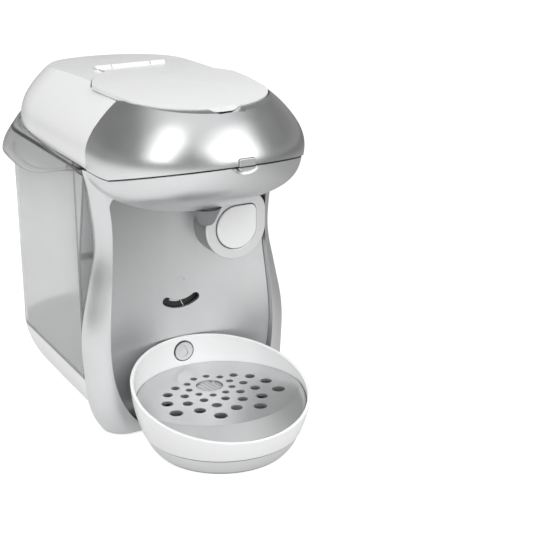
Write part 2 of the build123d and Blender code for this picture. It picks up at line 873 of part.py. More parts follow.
with BuildPart() as inlet_hose:
    add(hose(
        ((0, valve_y, base_top_z - seat_thickness), (0, valve_y, base_bulge_z),
         (button_x, pump_y, base_bulge_z), (button_x, pump_y, button_z - pump_reach)),
        (8, 12),
    ))

with BuildPart() as outlet_hose:
    add(hose(
        ((button_x, pump_y, button_z + pump_reach), (button_x, pump_y, hose_level),
         (0, spout_y, hose_level), (0, spout_y, pipe_top)),
        (10, 3),
    ))

# Flag that swings behind the slot, with a painted bar that shows through it
indicator_front = column_y + panel_thickness + indicator_gap
indicator_plane = Plane(
    origin=(0, indicator_front, slot_pivot_z), x_dir=(1, 0, 0), z_dir=(0, -1, 0)
)
with BuildPart() as indicator:
    with BuildSketch(indicator_plane):
        Circle(indicator_radius)
        with Locations((0, indicator_radius)):
            Rectangle(3 * indicator_radius, 2 * indicator_radius - 10, mode=Mode.SUBTRACT)
        Circle(indicator_shaft_radius + pin_clearance, mode=Mode.SUBTRACT)
    extrude(amount=-indicator_thickness)

with BuildPart() as indicator_mark:
    with BuildSketch(indicator_plane):
        with BuildLine() as bar_line:
            CenterArc((0, 0), mark_radius, 247, 21)
        SlotArc(bar_line.wire(), mark_width)
        with Locations((1.8, -slot_radius)):
            Rectangle(0.35, slot_width + 1, rotation=25)
    extrude(amount=mark_height)

# Flange that closes the back of the frame beside the housing
with BuildPart() as housing_flange:
    add(frame_opening.part)
    add(wing_band, mode=Mode.INTERSECT)

# The housing's front leans with the tank above the frame's opening
arch_lean_y = tank_front - running_gap - tank_lean * (frame_arch_z - tank_lean_z) + seam
over_arch = side_block([
    (-far, frame_arch_z - seam), (arch_lean_y, frame_arch_z - seam),
    (arch_lean_y - tank_lean * (high - frame_arch_z), high), (-far, high),
])
housing_depth = housing_rear - frame_front
housing_middle = (housing_rear + frame_front) / 2
with BuildPart() as column_housing:
    with BuildSketch(Plane.XY.offset(base_top_z)):
        with Locations((0, housing_middle)):
            Rectangle(2 * housing_half_width, housing_depth)
    extrude(amount=high)
    add(housing_flange.part)
    with BuildSketch(Plane.XY.offset(base_top_z + wall)):
        with Locations((0, housing_middle - wall)):
            Rectangle(2 * (housing_half_width - wall), housing_depth)
    extrude(amount=high, mode=Mode.SUBTRACT)
    # Open at the front, where the hollow panel closes it
    add(behind_panel_space.part, mode=Mode.SUBTRACT)
    add(over_arch, mode=Mode.SUBTRACT)
    add(deck_underside, mode=Mode.INTERSECT)
    # Hose inlet in the floor
    with BuildSketch(Plane.XY.offset(base_top_z)):
        with Locations((button_x, pump_y)):
            Circle(hose_radius + seam)
    extrude(amount=wall, mode=Mode.SUBTRACT)

# ------------------------------------------------------------------ base
base_sections = (
    (foot_thickness, base_floor_half_width, base_floor_rear),
    (base_bulge_z, base_bulge_half_width, base_bulge_rear),
    (base_top_z, tank_half_width, tank_rear),
)
base_front = frame_rear + seam


def base_form(inset, lowering):
    """The boat-shaped base, drawn in by inset, with its top lowered."""
    with BuildPart() as form:
        for z, half_width, rear in base_sections:
            drop = lowering if z > base_bulge_z else 0
            with BuildSketch(Plane.XY.offset(z - drop)):
                add(tub_outline(
                    half_width - inset, base_front + inset, rear - inset, tank_corner - inset
                ))
        loft()
    return form.part


boss_front_y = base_front + boss_front_inset
boss_rear_y = base_floor_rear - boss_rear_inset
base_boss_places = (
    (-boss_front_x, boss_front_y), (boss_front_x, boss_front_y),
    (-boss_rear_x, boss_rear_y), (boss_rear_x, boss_rear_y),
)

with BuildPart() as base_shell:
    add(base_form(0, 0))
    add(base_form(wall, wall), mode=Mode.SUBTRACT)
    with BuildSketch(Plane.XY.offset(foot_thickness + wall + seam)):
        with Locations(*base_boss_places):
            Circle(boss_radius)
    extrude(amount=base_top_z - wall / 2 - foot_thickness - wall - seam)
    with BuildSketch(Plane.XY.offset(foot_thickness)):
        with Locations(*base_boss_places):
            Circle(screw_radius)
    extrude(amount=screw_length + 2, mode=Mode.SUBTRACT)
    # Seats of the tank valve and the hose
    with BuildSketch(Plane.XY.offset(base_top_z - wall)):
        with Locations((0, valve_y)):
            Circle(valve_radius)
        with Locations((button_x, pump_y)):
            Circle(hose_radius + seam)
    extrude(amount=wall, mode=Mode.SUBTRACT)

with BuildPart() as bottom_plate:
    with BuildSketch(Plane.XY.offset(foot_thickness)):
        add(tub_outline(
            base_floor_half_width - wall - seam, base_front + wall + seam,
            base_floor_rear - wall - seam, tank_corner - wall,
        ))
        with Locations(*base_boss_places):
            Circle(screw_radius, mode=Mode.SUBTRACT)
    extrude(amount=wall)
    with BuildSketch(Plane.XY.offset(foot_thickness)):
        with Locations(*base_boss_places):
            Circle(screw_head_radius + seam)
    extrude(amount=wall / 2, mode=Mode.SUBTRACT)
    # Ribs across the plate
    with BuildSketch(Plane.XY.offset(foot_thickness + wall)):
        with Locations((0, (base_front + base_floor_rear) / 2)):
            with GridLocations(0, rib_pitch, 1, 3):
                Rectangle(2 * boss_rear_x, rib_width)
    extrude(amount=rib_height)

with BuildPart() as base_screws:
    with BuildSketch(Plane.XY.offset(foot_thickness)):
        with Locations(*base_boss_places):
            Circle(screw_head_radius)
    extrude(amount=wall / 2)
    with BuildSketch(Plane.XY.offset(foot_thickness)):
        with Locations(*base_boss_places):
            Circle(screw_radius - pin_clearance)
    extrude(amount=screw_length)
    with BuildSketch(Plane.XY.offset(foot_thickness)):
        with Locations(*base_boss_places):
            Rectangle(screw_head_radius, screw_slot)
            Rectangle(screw_slot, screw_head_radius)
    extrude(amount=screw_slot, mode=Mode.SUBTRACT)

foot_rear_y = base_floor_rear - base_floor_inset
with BuildPart() as rubber_feet:
    with BuildSketch():
        with Locations((-foot_front_x, frame_middle), (foot_front_x, frame_middle),
                       (-foot_rear_x, foot_rear_y), (foot_rear_x, foot_rear_y)):
            Circle(foot_radius)
    extrude(amount=foot_thickness)

with BuildPart() as tank_seat:
    with BuildSketch(Plane.XY.offset(base_top_z)):
        with Locations((0, valve_y)):
            Circle(valve_radius - seam)
            Circle(hose_bore_radius, mode=Mode.SUBTRACT)
    extrude(amount=-seat_thickness)
    # Shallow cup that the valve's plug passes over
    with BuildSketch(Plane.XY.offset(base_top_z)):
        with Locations((0, valve_y)):
            Circle(valve_radius - wall - 1)
    extrude(amount=-wall / 2, mode=Mode.SUBTRACT)

# ------------------------------------------------------------------ water tank
tank_floor_z = base_top_z + running_gap


def tank_form(inset):
    """The tank's outer form, drawn in by inset and open at the top when inset."""
    reach = running_gap + inset
    with BuildPart() as form:
        with BuildSketch(Plane.XY.offset(tank_floor_z + inset)):
            add(tub_outline(
                tank_half_width - inset, frame_front, tank_rear - inset, tank_corner - inset
            ))
        extrude(amount=tank_top_z - tank_floor_z)
        add(behind_tank_line(inset), mode=Mode.INTERSECT)
        with BuildSketch():
            with Locations((0, housing_rear + reach - far / 2)):
                Rectangle(2 * (housing_half_width + reach), far)
        extrude(amount=high, mode=Mode.SUBTRACT)
    return form.part


# The lip's lower edge dips at the sides and rises to both ends
lip_low_points = (
    (tank_front - 14, mouth_z - 2), (0, lip_low_z + 11), (lip_dip_y - 23, lip_low_z + 1.8),
    (lip_dip_y, lip_low_z), (lip_dip_y + 42, lip_low_z + 5), (rear_y, lip_low_z + 11),
)


# Level, what the sides and back have drawn in, and how far the rear curve starts forward
lip_sections = (
    (lip_low_z - 4, 0.0, 0.0, 0.0), (lip_low_z + 11, 0.4, 0.0, 4.0),
    (lip_low_z + 19, 1.8, 2.3, 16.0), (lip_low_z + 32, 4.4, 8.0, 38.0),
)


def lip_dome(inset):
    """Outer form of the lip: widest at its lower edge and closing towards the head."""
    with BuildPart() as dome:
        for z, side, rear, forward in lip_sections:
            with BuildSketch(Plane.XY.offset(z)):
                add(oval_outline(
                    lip_half_width - side - inset, frame_front - 10, frame_front,
                    rear_y - rear - inset, lip_centre - forward,
                ))
        loft()
    return dome.part


def lip_form(inset):
    """The flared lip around the tank, drawn in by inset and open at the top when inset."""
    reach = running_gap + inset
    top = inset - mouth_gap
    with BuildPart() as form:
        with BuildSketch(Plane.YZ):
            with BuildLine():
                low = Spline(*[(y, z + inset) for y, z in lip_low_points])
                Polyline(
                    low @ 1, (rear_y, mouth_height(rear_y) + top), (0, mouth_z + top),
                    (lip_low_points[0][0], mouth_z + top), low @ 0,
                )
            make_face()
        extrude(amount=2 * head_half_width, both=True)
        add(lip_dome(inset), mode=Mode.INTERSECT)
        add(behind_tank_line(inset), mode=Mode.INTERSECT)
        with BuildSketch():
            with Locations((0, housing_rear + reach - far / 2)):
                Rectangle(2 * (housing_half_width + reach), far)
        extrude(amount=high, mode=Mode.SUBTRACT)
    return form.part


tank_shape = tank_form(0)
tank_bore = tank_form(tank_wall)
lip_shape = lip_form(0)
lip_bore = lip_form(tank_wall)
plug_radius = valve_radius / 2
with BuildPart() as water_tank:
    add(tank_shape)
    add(lip_shape)
    add(tank_bore, mode=Mode.SUBTRACT)
    add(lip_bore, mode=Mode.SUBTRACT)
    with BuildSketch(Plane.XY.offset(tank_floor_z)):
        with Locations((0, valve_y)):
            Circle(plug_radius)
    extrude(amount=tank_wall, mode=Mode.SUBTRACT)

with BuildPart() as tank_valve:
    with BuildSketch(Plane.XY.offset(tank_floor_z + tank_wall)):
        with Locations((0, valve_y)):
            Circle(valve_radius)
    extrude(amount=wall)
    with BuildSketch(Plane.XY.offset(tank_floor_z)):
        with Locations((0, valve_y)):
            Circle(plug_radius - pin_clearance)
    extrude(amount=tank_wall)
    with BuildSketch(Plane.XY.offset(tank_floor_z)):
        with Locations((0, valve_y)):
            Circle(hose_bore_radius)
    extrude(amount=tank_wall + wall, mode=Mode.SUBTRACT)

# ------------------------------------------------------------------ drip tray
rim_back_z = tray_rim_mid_z + tray_rim_slope * tray_rim_back_radius
rim_front_z = tray_rim_mid_z - tray_rim_slope * tray_rim_front_radius
tray_axis = Axis((0, tray_y, 0), (0, 0, 1))
spout_axis = Axis((0, spout_y, 0), (0, 0, 1))


def ring_arc(inset):
    """Side of the white ring in section, drawn in by inset."""
    return ThreePointArc(
        (tray_y + tray_ring_foot_radius - inset, tray_ring_bottom_z),
        (tray_y + tray_rim_front_radius - inset, rim_front_z),
        (tray_y + tray_rim_back_radius - inset, rim_back_z),
    )


rim_low = tray_rim_mid_z - tray_rim_slope * far
rim_high = tray_rim_mid_z + tray_rim_slope * far
below_rim = side_block(
    [(tray_y - far, rim_low), (tray_y + far, rim_high), (tray_y + far, -high), (tray_y - far, -high)]
)

with BuildPart() as ring_space:
    with BuildSketch(Plane.YZ):
        with BuildLine():
            side = ring_arc(wall + running_gap)
            Polyline(side @ 1, (tray_y, rim_back_z), (tray_y, tray_ring_bottom_z), side @ 0)
        make_face()
    revolve(axis=tray_axis)

ledge_z = plate_z - plate_thickness
with BuildPart() as ring_ledge:
    with BuildSketch(Plane.XY.offset(ledge_z - plate_ledge)):
        with Locations((0, tray_y)):
            Circle(tray_rim_front_radius)
            Circle(tray_rim_front_radius - wall - plate_ledge, mode=Mode.SUBTRACT)
    extrude(amount=plate_ledge)
    with BuildSketch():
        with Locations((0, spout_y)):
            Circle(plate_crease_radius - 2)
    extrude(amount=high, mode=Mode.INTERSECT)

with BuildPart() as drip_tray_ring:
    with BuildSketch(Plane.YZ):
        with BuildLine():
            outside = ring_arc(0)
            inside = ring_arc(wall)
            Line(outside @ 0, inside @ 0)
            Line(outside @ 1, inside @ 1)
        make_face()
    revolve(axis=tray_axis)
    add(ring_ledge.part)
    add(below_rim, mode=Mode.INTERSECT)
    # Hole for the locating lug on the column
    with BuildSketch(Plane.XZ.offset(-tray_y)):
        with Locations((0, lug_z)):
            Circle(lug_radius + 2 * running_gap)
    extrude(amount=-far, mode=Mode.SUBTRACT)

# Edges of the bowl in section, behind the tray's axis
foot_edge = tray_y + tray_foot_radius
bowl_edge = tray_y + tray_ring_foot_radius - 0.8
lap_edge = tray_y + tray_ring_foot_radius - wall - seam
bowl_bulge = 1.2
with BuildPart() as drip_tray_bowl:
    with BuildSketch(Plane.YZ):
        with BuildLine():
            flare = ThreePointArc(
                (foot_edge, 0),
                ((foot_edge + bowl_edge) / 2 + bowl_bulge, tray_ring_bottom_z / 2),
                (bowl_edge, tray_ring_bottom_z - seam),
            )
            hollow = ThreePointArc(
                (foot_edge - wall, wall),
                ((foot_edge + bowl_edge) / 2 + bowl_bulge - wall, tray_ring_bottom_z / 2 + wall / 2),
                (lap_edge - wall, tray_ring_bottom_z),
            )
            Polyline(
                flare @ 1,
                (lap_edge, tray_ring_bottom_z - seam),
                (lap_edge, tray_ring_bottom_z + tray_lap),
                (lap_edge - wall, tray_ring_bottom_z + tray_lap),
                hollow @ 1,
            )
            Polyline(hollow @ 0, (tray_y, wall), (tray_y, 0), flare @ 0)
        make_face()
    revolve(axis=tray_axis)

crease_edge = spout_y + plate_crease_radius
plate_run = spout_y - front_y - plate_crease_radius
plate_drop = plate_fall * plate_run
with BuildPart() as drip_plate:
    with BuildSketch(Plane.YZ):
        with BuildLine():
            Polyline(
                (spout_y, plate_z),
                (crease_edge, plate_z),
                (crease_edge + plate_run, plate_z - plate_drop),
                (crease_edge + plate_run, plate_z - plate_drop - plate_thickness),
                (crease_edge, plate_z - plate_thickness),
                (spout_y, plate_z - plate_thickness),
                close=True,
            )
        make_face()
    revolve(axis=spout_axis)
    add(ring_space.part, mode=Mode.INTERSECT)
    with BuildSketch(Plane.XY.offset(ledge_z - 1)):
        with Locations((0, spout_y)):
            Circle(plate_centre_hole_radius)
            for row, reach in enumerate(row_reach):
                row_radius = plate_first_ring_radius + row * plate_ring_step
                hole_radius = plate_first_hole_radius + row * plate_hole_growth
                # Every other row is turned by half a step; outer rows keep to the front
                for angle in range(18 if row % 2 == 0 else 0, 360, 36):
                    if min(angle, 360 - angle) <= reach:
                        with Locations((
                            row_radius * sin(radians(angle)), -row_radius * cos(radians(angle))
                        )):
                            Circle(hole_radius)
    extrude(amount=2 * plate_thickness, mode=Mode.SUBTRACT)

with BuildPart() as tray_lug:
    with BuildSketch(Plane.XZ.offset(-column_y + lug_length)):
        with Locations((0, lug_z)):
            Circle(lug_radius)
    extrude(amount=-lug_length - 2)
    add(panel_front_space.part, mode=Mode.INTERSECT)
    # Sunk drop on its face
    with BuildSketch(Plane.XZ.offset(-column_y + lug_length)):
        with Locations((0, lug_z - 1)):
            Circle(2.6)
        with Locations((0, lug_z + 1.6)):
            Triangle(a=4.4, b=4.4, c=4.4)
    extrude(amount=-0.5, mode=Mode.SUBTRACT)

# ------------------------------------------------------------------ output
pieces = {
    "front_frame": front_frame, "front_panel": front_panel, "button_bezel": button_bezel,
    "start_button": start_button, "button_stem": button_stem, "pump_piston": pump_piston,
    "pump_cylinder": pump_cylinder, "pump_spring": pump_spring, "indicator": indicator,
    "indicator_mark": indicator_mark, "inlet_hose": inlet_hose, "outlet_hose": outlet_hose,
    "head_catch": head_catch,
    "column_housing": column_housing, "head_cover": head_cover, "rear_cover": rear_cover,
    "head_deck": head_deck, "hinge_pin": hinge_pin, "lid": lid,
    "capsule_holder": capsule_holder, "nose_shell": nose_shell, "spout": spout,
    "base_shell": base_shell, "bottom_plate": bottom_plate, "base_screws": base_screws,
    "rubber_feet": rubber_feet, "tank_seat": tank_seat, "water_tank": water_tank,
    "tank_valve": tank_valve, "drip_tray_ring": drip_tray_ring,
    "drip_tray_bowl": drip_tray_bowl, "drip_plate": drip_plate, "tray_lug": tray_lug,
}
for name, piece in pieces.items():
    save(piece.part, name)
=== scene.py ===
"""Looks of the toy coffee maker: its finishes, fine trim, floor, light and camera.

Metres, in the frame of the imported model: +Z is up and the front faces -Y.
"""

import json
import logging
import math
from dataclasses import dataclass, field, replace
from enum import Enum

import bmesh
import bpy
from mathutils import Matrix, Vector

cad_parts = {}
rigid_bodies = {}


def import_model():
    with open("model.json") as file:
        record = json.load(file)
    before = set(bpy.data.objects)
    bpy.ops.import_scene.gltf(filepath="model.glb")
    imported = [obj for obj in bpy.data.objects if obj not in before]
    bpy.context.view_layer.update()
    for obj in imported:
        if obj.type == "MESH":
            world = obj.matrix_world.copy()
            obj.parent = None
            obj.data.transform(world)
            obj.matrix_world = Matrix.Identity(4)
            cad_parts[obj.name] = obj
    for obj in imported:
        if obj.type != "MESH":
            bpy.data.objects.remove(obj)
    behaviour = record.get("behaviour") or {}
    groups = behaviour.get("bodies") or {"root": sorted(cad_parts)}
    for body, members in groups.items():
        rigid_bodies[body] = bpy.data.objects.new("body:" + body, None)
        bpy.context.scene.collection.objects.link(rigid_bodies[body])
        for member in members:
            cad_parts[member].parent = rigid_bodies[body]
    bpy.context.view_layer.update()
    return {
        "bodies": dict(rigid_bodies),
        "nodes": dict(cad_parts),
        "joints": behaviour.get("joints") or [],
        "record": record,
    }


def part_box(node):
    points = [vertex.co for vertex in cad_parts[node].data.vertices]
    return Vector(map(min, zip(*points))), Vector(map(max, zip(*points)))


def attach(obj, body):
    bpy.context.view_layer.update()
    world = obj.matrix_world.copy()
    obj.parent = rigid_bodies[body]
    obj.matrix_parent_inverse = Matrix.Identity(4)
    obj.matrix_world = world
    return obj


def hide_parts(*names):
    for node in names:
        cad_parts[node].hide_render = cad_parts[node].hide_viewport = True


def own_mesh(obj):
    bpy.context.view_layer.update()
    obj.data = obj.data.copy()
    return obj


log = logging.getLogger("toy_coffee_maker")

MILLIMETRE = 0.001
WHITE = (1.0, 1.0, 1.0, 1.0)
Band = tuple[float, float]      # where a range starts and ends


class Slot(Enum):
    """Material slots of the record, which are also the finishes of this machine."""

    WHITE_SHELL = "white_shell"
    SILVER_COVER = "silver_cover"
    SILVER_BODY = "silver_body"
    PLATE_SILVER = "plate_silver"
    CLEAR_TANK = "clear_tank"
    DARK_GREY = "dark_grey"
    INNER_GREY = "inner_grey"
    BLACK_PLASTIC = "black_plastic"
    MARK_WHITE = "mark_white"
    SOFT_RUBBER = "soft_rubber"
    HOSE_RUBBER = "hose_rubber"
    STEEL = "steel"


class Body(Enum):
    """Bodies of the machine that the pieces made here ride on."""

    MACHINE = "machine"
    PLATE = "plate"


# ---------------------------------------------------------------------------- node helpers
@dataclass
class NodeDesk:
    """A node tree with short calls to add nodes and join them."""

    tree: bpy.types.NodeTree

    def add(self, kind: str, **values: object) -> bpy.types.Node:
        """Add a node and set its own properties.

        Args:
            kind: Blender's name of the node type.
            **values: Properties of the node.

        Returns:
            The new node.
        """
        node = self.tree.nodes.new(kind)
        for name, value in values.items():
            setattr(node, name, value)
        return node

    def join(self, source: bpy.types.NodeSocket, target: bpy.types.NodeSocket) -> None:
        """Link two sockets."""
        self.tree.links.new(source, target)

    def feed(self, value: object, target: bpy.types.NodeSocket) -> None:
        """Link a socket to an input, or set the input's own value.

        Args:
            value: A socket or a plain value.
            target: The input.
        """
        if isinstance(value, bpy.types.NodeSocket):
            self.join(value, target)
        else:
            target.default_value = value

    def math(self, operation: str, first: object, second: object) -> bpy.types.NodeSocket:
        """Add a Math node on two sockets or numbers.

        Args:
            operation: Blender's name of the operation.
            first: A socket or a number.
            second: A socket or a number.

        Returns:
            The node's output.
        """
        node = self.add("ShaderNodeMath", operation=operation)
        for place, value in enumerate((first, second)):
            self.feed(value, node.inputs[place])
        return node.outputs[0]

    def blend(self, factor: object, first: object, second: object,
              kind: str = "MIX") -> bpy.types.NodeSocket:
        """Mix two colours.

        Args:
            factor: How much the second counts, a socket or a number.
            first: A colour or its socket.
            second: A colour or its socket.
            kind: Blender's name of the blend type.

        Returns:
            The mixed colour.
        """
        node = self.add("ShaderNodeMix", data_type="RGBA", blend_type=kind)
        for name, value in (("Factor", factor), ("A", first), ("B", second)):
            self.feed(value, node.inputs[name])
        return node.outputs["Result"]

    def coordinate(self, axis: str, kind: str = "Object") -> bpy.types.NodeSocket:
        """Read one coordinate of the shaded point.

        Args:
            axis: X, Y or Z.
            kind: Blender's name of the coordinates.

        Returns:
            The coordinate.
        """
        place = self.add("ShaderNodeTexCoord")
        split = self.add("ShaderNodeSeparateXYZ")
        self.join(place.outputs[kind], split.inputs["Vector"])
        return split.outputs[axis]

    def spread(self, value: bpy.types.NodeSocket, low: float, high: float,
               start: float = 0.0, end: float = 1.0) -> bpy.types.NodeSocket:
        """Map a value from start..end to low..high.

        Args:
            value: The socket to map.
            low: Result at start.
            high: Result at end.
            start: Where the input range begins.
            end: Where the input range ends.

        Returns:
            The mapped value.
        """
        node = self.add("ShaderNodeMapRange")
        self.join(value, node.inputs["Value"])
        node.inputs["From Min"].default_value = start
        node.inputs["From Max"].default_value = end
        node.inputs["To Min"].default_value = low
        node.inputs["To Max"].default_value = high
        return node.outputs["Result"]

    def ramp(self, value: bpy.types.NodeSocket,
             stops: tuple[tuple[float, float], ...]) -> bpy.types.NodeSocket:
        """Map a value to greys.

        Args:
            value: The socket to map.
            stops: Places from nought to one, each with its grey.

        Returns:
            The colour.
        """
        node = self.add("ShaderNodeValToRGB")
        elements = node.color_ramp.elements
        for place, _ in stops[2:]:
            elements.new(place)
        for element, (place, grey) in zip(elements, stops):
            element.position = place
            element.color = (grey, grey, grey, 1.0)
        self.join(value, node.inputs["Fac"])
        return node.outputs["Color"]

    def noise(self, scale: object, detail: float = 3.0,
              stretch: tuple[float, float, float] = (1.0, 1.0, 1.0)) -> bpy.types.NodeSocket:
        """Add a noise texture on the object's own coordinates.

        Args:
            scale: Features per metre, a socket or a number.
            detail: Octaves of the noise.
            stretch: Scale along each axis.

        Returns:
            The noise value.
        """
        place = self.add("ShaderNodeTexCoord")
        mapping = self.add("ShaderNodeMapping")
        mapping.inputs["Scale"].default_value = stretch
        self.join(place.outputs["Object"], mapping.inputs["Vector"])
        texture = self.add("ShaderNodeTexNoise")
        texture.inputs["Detail"].default_value = detail
        self.join(mapping.outputs["Vector"], texture.inputs["Vector"])
        self.feed(scale, texture.inputs["Scale"])
        return texture.outputs["Fac"]


@dataclass
class SurfaceEffects:
    """Node groups that several finishes share."""

    slow_scale: float = 38.0            # patches of unevenness per metre
    streak_scale: float = 90.0          # streaks per metre
    streak_stretch: tuple[float, float, float] = (1.0, 1.0, 0.18)
    smudge_onset: Band = (0.16, 0.42)   # noise from which a smudge shows, and is full
    grain: bpy.types.NodeTree = field(init=False)
    flake: bpy.types.NodeTree = field(init=False)
    handling: bpy.types.NodeTree = field(init=False)

    def __post_init__(self) -> None:
        """Build each group once."""
        self.grain = self._make_grain()
        self.flake = self._make_flake()
        self.handling = self._make_handling()

    @staticmethod
    def _open(
        name: str, inputs: dict[str, float], outputs: tuple[str, ...]
    ) -> tuple[NodeDesk, bpy.types.Node, bpy.types.Node]:
        """Start a node group with named float sockets.

        Args:
            name: Name of the group.
            inputs: Socket names with their default values.
            outputs: Socket names.

        Returns:
            The group's desk, its input node and its output node.
        """
        tree = bpy.data.node_groups.new(name, "ShaderNodeTree")
        for socket, value in inputs.items():
            made = tree.interface.new_socket(socket, in_out="INPUT", socket_type="NodeSocketFloat")
            made.default_value = value
        for socket in outputs:
            tree.interface.new_socket(socket, in_out="OUTPUT", socket_type="NodeSocketFloat")
        desk = NodeDesk(tree)
        return desk, desk.add("NodeGroupInput"), desk.add("NodeGroupOutput")

    def _make_grain(self) -> bpy.types.NodeTree:
        """Make a fine moulded grain with a slow unevenness under it.

        Returns:
            The node group.
        """
        desk, start, end = self._open(
            "moulded_grain", {"Scale": 2600.0, "Waviness": 0.25}, ("Height", "Unevenness")
        )
        fine = desk.noise(start.outputs["Scale"], detail=2.0)
        slow = desk.noise(self.slow_scale, detail=2.0)
        wave = desk.math("MULTIPLY", slow, start.outputs["Waviness"])
        desk.join(desk.math("ADD", fine, wave), end.inputs["Height"])
        desk.join(slow, end.inputs["Unevenness"])
        return desk.tree

    def _make_flake(self) -> bpy.types.NodeTree:
        """Make metal flakes in a lacquer, each one a shade lighter or darker.

        Returns:
            The node group.
        """
        desk, start, end = self._open("metal_flake", {"Scale": 2400.0}, ("Sparkle", "Height"))
        place = desk.add("ShaderNodeTexCoord")
        cells = desk.add("ShaderNodeTexVoronoi", feature="F1")
        desk.join(place.outputs["Object"], cells.inputs["Vector"])
        desk.join(start.outputs["Scale"], cells.inputs["Scale"])
        split = desk.add("ShaderNodeSeparateColor")
        desk.join(cells.outputs["Color"], split.inputs["Color"])
        desk.join(split.outputs["Red"], end.inputs["Sparkle"])
        desk.join(split.outputs["Green"], end.inputs["Height"])
        return desk.tree

    def _make_handling(self) -> bpy.types.NodeTree:
        """Make the soft smudges and faint streaks that handling leaves.

        Returns:
            The node group.
        """
        desk, start, end = self._open("handling", {"Scale": 30.0}, ("Smudge",))
        patch = desk.noise(start.outputs["Scale"], detail=4.0)
        streak = desk.noise(self.streak_scale, stretch=self.streak_stretch)
        both = desk.math("MULTIPLY", patch, streak)
        desk.join(desk.spread(both, 0.0, 1.0, *self.smudge_onset), end.inputs["Smudge"])
        return desk.tree


